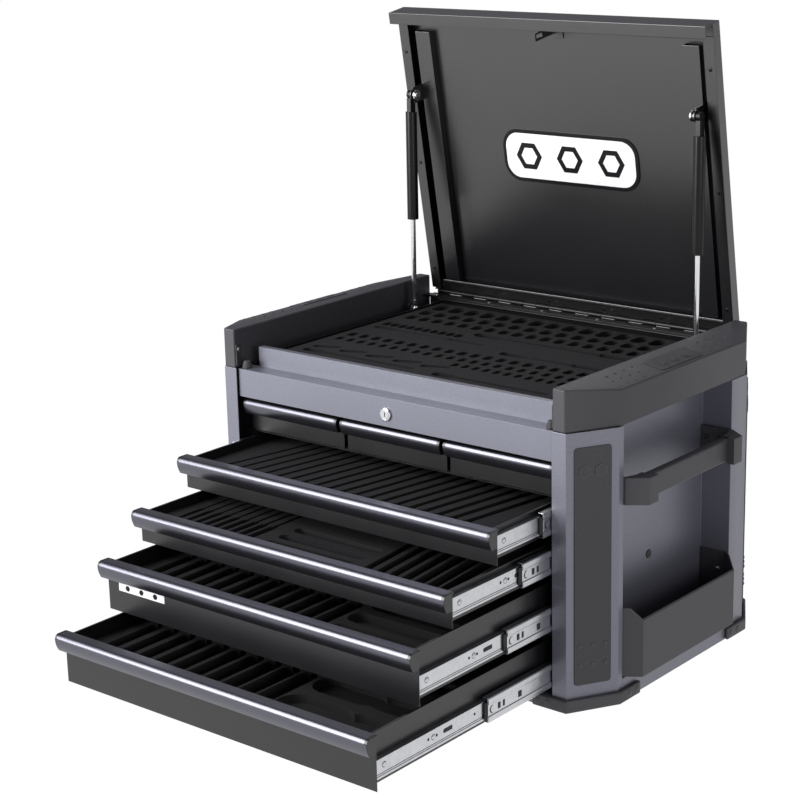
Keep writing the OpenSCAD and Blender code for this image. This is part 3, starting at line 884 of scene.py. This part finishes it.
# wrenches are count, slant and the first and last y; drivers count, both ends in x, first y, length and grip;
# a block is both ends in x, both ends in y and its width
drawerLook = {"wrenches": (19, 36, 24, 260), "fill": 1,
              "drivers": {2: (9, 30, 170, 26, 120, 13), 3: (12, 36, 350, 30, 190, 24), 4: (10, 36, 330, 30, 210, 30)},
              "blocks": {2: [(210, 350, 30, 30, 22), (210, 350, 62, 62, 18), (210, 350, 94, 94, 18)]
                         + [(385 + 22 * i, 372 + 22 * i, 30, 150, 12 + i) for i in range(7)],
                         3: [(385, 510, 40, 40, 30), (385, 510, 85, 85, 34), (385, 510, 130, 130, 26)],
                         4: [(375, 440, 50, 50, 56), (375, 440, 120, 120, 50), (475, 520, 50, 50, 52),
                             (475, 520, 120, 120, 46), (380, 520, 200, 200, 36)]}}


def buildFoam():
    k = drawerLook
    cutPockets("trayFoam", "tray_foam", "chest", trayPockets(box("tray_foam")[1][2]))
    low, high = box("drawer_1_foam")
    cutPockets("drawer1Foam", "drawer_1_foam", "drawer_1", wrenchPockets(low, high, *k["wrenches"]))
    for i in (2, 3, 4):
        low, high = box("drawer_%d_foam" % i)
        pockets = driverPockets(low, high, *k["drivers"][i])
        blockPockets(pockets, low, high, k["blocks"][i])
        cutPockets("drawer%dFoam" % i, "drawer_%d_foam" % i, "drawer_%d" % i, pockets)


buildFoam()
print("foam done")

# every CAD node that still shows gets its finish
for nodeName, obj in nodes.items():
    if not obj.hide_render:
        obj.data.materials.clear()
        obj.data.materials.append(mats[nodeSlot[nodeName]])


# white paper floor
stageLook = {"halfSize": 12, "gap": 0.0005, "glow": 1.0}  # metres


def buildStage():
    k = stageLook
    bm = bmesh.new()
    place = Matrix.Translation((0, 0, cadBox[0][2] - k["gap"]))
    bmesh.ops.create_grid(bm, x_segments=1, y_segments=1, size=k["halfSize"], matrix=place)
    mesh = bpy.data.meshes.new("floor")
    bm.to_mesh(mesh)
    bm.free()
    floor = bpy.data.objects.new("floor", mesh)
    bpy.context.scene.collection.objects.link(floor)
    mat, shader = newMaterial("floorPaper", (0.02, 0.02, 0.02), 0, 1)
    shader.inputs["Specular IOR Level"].default_value = 0
    shader.inputs["Emission Color"].default_value = (1, 1, 1, 1)
    shader.inputs["Emission Strength"].default_value = k["glow"]
    mesh.materials.append(mat)


# each light is where it stands and looks, its size in metres and its watts
lightLook = {"keyLight": ((-1.7, -2.4, 2.3), (0, 0, 0.3), (1.8, 1.8), 95),
             "frontLight": ((-1.7, -3.1, 0.9), (-0.1, -0.3, 0.2), (2.2, 1.5), 120),
             "sideLight": ((2.9, -1.0, 0.9), (0, 0, 0.2), (1.2, 1.2), 24),
             "topLight": ((0, 0.2, 3.0), (0, 0, 0.3), (2.4, 2.4), 36)}
worldLook = {"strength": 1.0, "level": (0.42, 0.42, 0.45), "ceiling": (0.16, 0.16, 0.18), "ceilingFrom": 0.55}


def addArea(name, place, target, size, power):
    light = bpy.data.lights.new(name, "AREA")
    light.shape = "RECTANGLE"
    light.size, light.size_y = size
    light.energy = power
    obj = bpy.data.objects.new(name, light)
    aim = (Vector(place) - Vector(target)).to_track_quat("Z", "Y").to_matrix().to_4x4()
    obj.matrix_world = Matrix.Translation(place) @ aim
    bpy.context.scene.collection.objects.link(obj)


def buildLights():
    k = worldLook
    world = bpy.data.worlds.new("studio")
    bpy.context.scene.world = world
    world.use_nodes = True
    tree = world.node_tree
    back = tree.nodes["Background"]
    back.inputs["Strength"].default_value = k["strength"]
    # white behind the chest, a darker ceiling for what the metal reflects
    coords = tree.nodes.new("ShaderNodeTexCoord")
    split = tree.nodes.new("ShaderNodeSeparateXYZ")
    ramp = tree.nodes.new("ShaderNodeValToRGB")
    ramp.color_ramp.elements[0].position = 0.0
    ramp.color_ramp.elements[0].color = (*k["level"], 1)
    ramp.color_ramp.elements[1].position = k["ceilingFrom"]
    ramp.color_ramp.elements[1].color = (*k["ceiling"], 1)
    path = tree.nodes.new("ShaderNodeLightPath")
    mix = tree.nodes.new("ShaderNodeMix")
    mix.data_type = "RGBA"
    tree.links.new(coords.outputs["Generated"], split.inputs["Vector"])
    tree.links.new(split.outputs["Z"], ramp.inputs["Fac"])
    tree.links.new(path.outputs["Is Camera Ray"], mix.inputs["Factor"])
    tree.links.new(ramp.outputs["Color"], mix.inputs["A"])
    mix.inputs["B"].default_value = (1, 1, 1, 1)
    tree.links.new(mix.outputs["Result"], back.inputs["Color"])
    bpy.context.scene.view_settings.view_transform = "Standard"
    for name, look in lightLook.items():
        addArea(name, *look)


cameraLook = {"azimuth": 39.93, "elevation": 15.6, "distance": 2958.28, "target": (-80.74, -100.99, 348.59),
              "roll": -1.39, "lens": 89.787}


def buildCamera():
    k = cameraLook
    a, e, r = (math.radians(k[n]) for n in ("azimuth", "elevation", "roll"))
    back = Vector((math.sin(a) * math.cos(e), -math.cos(a) * math.cos(e), math.sin(e)))
    right = (-back).cross(Vector((0, 0, 1))).normalized()
    up = right.cross(-back)
    turnedRight = right * math.cos(r) + up * math.sin(r)
    turnedUp = -right * math.sin(r) + up * math.cos(r)
    place = Matrix((turnedRight, turnedUp, back)).transposed().to_4x4()
    place.translation = (Vector(k["target"]) + back * k["distance"]) * mm
    camera = bpy.data.cameras.new("viewCamera")
    camera.lens = k["lens"]
    camera.sensor_width = 36
    camera.clip_end = 50
    obj = bpy.data.objects.new("viewCamera", camera)
    obj.matrix_world = place
    bpy.context.scene.collection.objects.link(obj)
    bpy.context.scene.camera = obj


buildStage()
buildLights()
buildCamera()
print("stage done")
